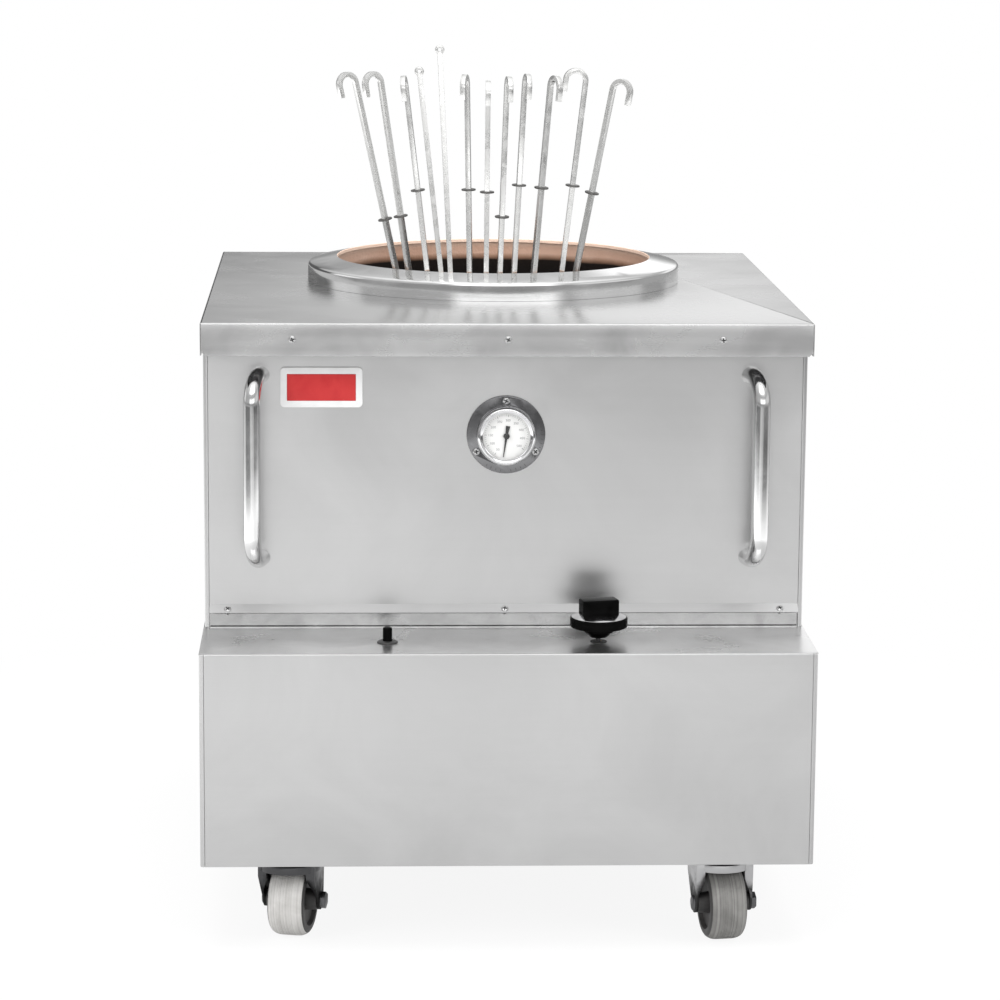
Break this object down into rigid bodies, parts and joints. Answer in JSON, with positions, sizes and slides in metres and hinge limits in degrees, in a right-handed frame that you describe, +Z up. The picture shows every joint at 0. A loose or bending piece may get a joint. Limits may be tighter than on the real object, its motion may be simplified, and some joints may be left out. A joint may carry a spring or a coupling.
{
  "type": "clay tandoor oven",
  "caption": "Clay pot oven in a steel cabinet on swivel casters, with a gas knob, igniter, thermometer, handles and hooked skewers standing in the open round mouth.",
  "frame": {"origin": "on the floor under the middle of the cabinet", "axes": "+Z up; -Y is the front, with the thermometer and the knob; +X is to the right when looking at the front"},
  "size_m": [0.816, 0.966, 1.1803],
  "materials": {
    "satin_steel": "brushed stainless steel sheet, fine horizontal grain",
    "polished_steel": "stainless steel, polished",
    "mild_steel": "mild steel, dark heat-resistant paint",
    "terracotta": "unglazed fired clay, matte",
    "wool": "ceramic fibre wool",
    "cast_burner": "cast iron, bare",
    "bare_steel": "bare steel",
    "black_pipe": "black iron pipe",
    "brass": "brass",
    "black_plastic": "glossy black phenolic",
    "chrome": "bright chrome",
    "cable": "silicone cable",
    "white_face": "white enamel dial",
    "black_paint": "black paint",
    "clear_glass": "flat clear glass",
    "plate_enamel": "white enamelled plate with a red field",
    "zinc": "zinc-plated pressed steel",
    "grey_tread": "grey rubber tread",
    "skewer_steel": "bright stainless steel bar"
  },
  "bodies": {
    "cabinet": {"base_front": "satin_steel", "base_shell": "satin_steel", "floor_pan": "mild_steel", "frame": "mild_steel", "body_front": "satin_steel", "body_shell": "satin_steel", "riser_strip": "satin_steel", "top_cover": "polished_steel", "collar": "polished_steel", "clay_pot": "terracotta", "insulation": "wool", "hearth_plate": "mild_steel", "flame_deflector": "cast_burner", "burner": "cast_burner", "supply_pipe": "black_pipe", "feed_pipe": "brass", "valve_body": "brass", "igniter_body": "chrome", "igniter_lead": "cable", "pilot": "bare_steel", "thermometer_flange": "chrome", "thermometer_case": "chrome", "thermometer_dial": "white_face", "thermometer_glass": "clear_glass", "handle_left": "polished_steel", "handle_right": "polished_steel", "name_plate": "plate_enamel", "panel_screws": "bare_steel", "caster_plates": "mild_steel", "caster_bolts": "bare_steel"},
    "tap": {"valve_core": "bare_steel"},
    "knob": {"valve_stem": "bare_steel", "gas_knob": "black_plastic"},
    "spark_button": {"igniter_button": "black_plastic"},
    "needle": {"thermometer_needle": "black_paint"},
    "swivel_front_left": {"fork_front_left": "zinc", "axle_front_left": "bare_steel"},
    "roller_front_left": {"wheel_front_left": "grey_tread"},
    "swivel_front_right": {"fork_front_right": "zinc", "axle_front_right": "bare_steel"},
    "roller_front_right": {"wheel_front_right": "grey_tread"},
    "swivel_back_left": {"fork_back_left": "zinc", "axle_back_left": "bare_steel"},
    "roller_back_left": {"wheel_back_left": "grey_tread"},
    "swivel_back_right": {"fork_back_right": "zinc", "axle_back_right": "bare_steel"},
    "roller_back_right": {"wheel_back_right": "grey_tread"},
    "skewer_01": {"skewer_01": "skewer_steel"},
    "skewer_02": {"skewer_02": "skewer_steel"},
    "skewer_03": {"skewer_03": "skewer_steel"},
    "skewer_04": {"skewer_04": "skewer_steel"},
    "skewer_05": {"skewer_05": "skewer_steel"},
    "skewer_06": {"skewer_06": "skewer_steel"},
    "skewer_07": {"skewer_07": "skewer_steel"},
    "skewer_08": {"skewer_08": "skewer_steel"},
    "skewer_09": {"skewer_09": "skewer_steel"},
    "skewer_10": {"skewer_10": "skewer_steel"},
    "skewer_11": {"skewer_11": "skewer_steel"},
    "skewer_12": {"skewer_12": "skewer_steel"}
  },
  "joints": [
    {"name": "knob_turn", "type": "hinge", "parent": "cabinet", "child": "tap", "pos_m": [0.122, -0.411, 0.4], "axis": [0, 0, 1], "range_deg": [0, 180]},
    {"name": "knob_push", "type": "slide", "parent": "tap", "child": "knob", "axis": [0, 0, -1], "range_m": [0, 0.004], "stiffness_N_per_m": 1500, "springref_m": -0.004},
    {"name": "igniter_push", "type": "slide", "parent": "cabinet", "child": "spark_button", "axis": [0, 0, -1], "range_m": [0, 0.008], "stiffness_N_per_m": 600, "springref_m": -0.004},
    {"name": "needle_swing", "type": "hinge", "parent": "cabinet", "child": "needle", "pos_m": [0, -0.34, 0.672], "axis": [0, 1, 0], "range_deg": [0, 300]},
    {"name": "caster_swivel_front_left", "type": "hinge", "parent": "cabinet", "child": "swivel_front_left", "pos_m": [-0.29, -0.416, 0.1075], "axis": [0, 0, 1], "continuous": true},
    {"name": "wheel_roll_front_left", "type": "hinge", "parent": "swivel_front_left", "child": "roller_front_left", "pos_m": [-0.28661, -0.40242, 0.05], "axis": [-0.9703, 0.2419, 0], "continuous": true},
    {"name": "caster_swivel_front_right", "type": "hinge", "parent": "cabinet", "child": "swivel_front_right", "pos_m": [0.29, -0.416, 0.1075], "axis": [0, 0, 1], "continuous": true},
    {"name": "wheel_roll_front_right", "type": "hinge", "parent": "swivel_front_right", "child": "roller_front_right", "pos_m": [0.29195, -0.42986, 0.05], "axis": [0.9903, 0.1392, 0], "continuous": true},
    {"name": "caster_swivel_back_left", "type": "hinge", "parent": "cabinet", "child": "swivel_back_left", "pos_m": [-0.29, 0.416, 0.1075], "axis": [0, 0, 1], "continuous": true},
    {"name": "wheel_roll_back_left", "type": "hinge", "parent": "swivel_back_left", "child": "roller_back_left", "pos_m": [-0.28197, 0.40453, 0.05], "axis": [0.8192, 0.5736, 0], "continuous": true},
    {"name": "caster_swivel_back_right", "type": "hinge", "parent": "cabinet", "child": "swivel_back_right", "pos_m": [0.29, 0.416, 0.1075], "axis": [0, 0, 1], "continuous": true},
    {"name": "wheel_roll_back_right", "type": "hinge", "parent": "swivel_back_right", "child": "roller_back_right", "pos_m": [0.281, 0.42672, 0.05], "axis": [-0.766, -0.6428, 0], "continuous": true},
    {"name": "lift_skewer_01", "type": "slide", "parent": "cabinet", "child": "skewer_01", "axis": [-0.2109, -0.0849, 0.9738], "range_m": [0, 0.6]},
    {"name": "lift_skewer_02", "type": "slide", "parent": "cabinet", "child": "skewer_02", "axis": [-0.1489, -0.0666, 0.9866], "range_m": [0, 0.6]},
    {"name": "lift_skewer_03", "type": "slide", "parent": "cabinet", "child": "skewer_03", "axis": [-0.1197, -0.059, 0.9911], "range_m": [0, 0.6]},
    {"name": "lift_skewer_04", "type": "slide", "parent": "cabinet", "child": "skewer_04", "axis": [-0.1124, -0.0915, 0.9894], "range_m": [0, 0.6]},
    {"name": "lift_skewer_05", "type": "slide", "parent": "cabinet", "child": "skewer_05", "axis": [-0.0532, -0.0386, 0.9978], "range_m": [0, 0.6]},
    {"name": "lift_skewer_06", "type": "slide", "parent": "cabinet", "child": "skewer_06", "axis": [-0.0213, -0.051, 0.9985], "range_m": [0, 0.6]},
    {"name": "lift_skewer_07", "type": "slide", "parent": "cabinet", "child": "skewer_07", "axis": [0.0018, -0.0566, 0.9984], "range_m": [0, 0.6]},
    {"name": "lift_skewer_08", "type": "slide", "parent": "cabinet", "child": "skewer_08", "axis": [0.0265, -0.0932, 0.9953], "range_m": [0, 0.6]},
    {"name": "lift_skewer_09", "type": "slide", "parent": "cabinet", "child": "skewer_09", "axis": [0.046, -0.0564, 0.9973], "range_m": [0, 0.6]},
    {"name": "lift_skewer_10", "type": "slide", "parent": "cabinet", "child": "skewer_10", "axis": [0.074, -0.0926, 0.9929], "range_m": [0, 0.6]},
    {"name": "lift_skewer_11", "type": "slide", "parent": "cabinet", "child": "skewer_11", "axis": [0.1092, -0.0698, 0.9916], "range_m": [0, 0.6]},
    {"name": "lift_skewer_12", "type": "slide", "parent": "cabinet", "child": "skewer_12", "axis": [0.1752, -0.1202, 0.9772], "range_m": [0, 0.6]}
  ]
}
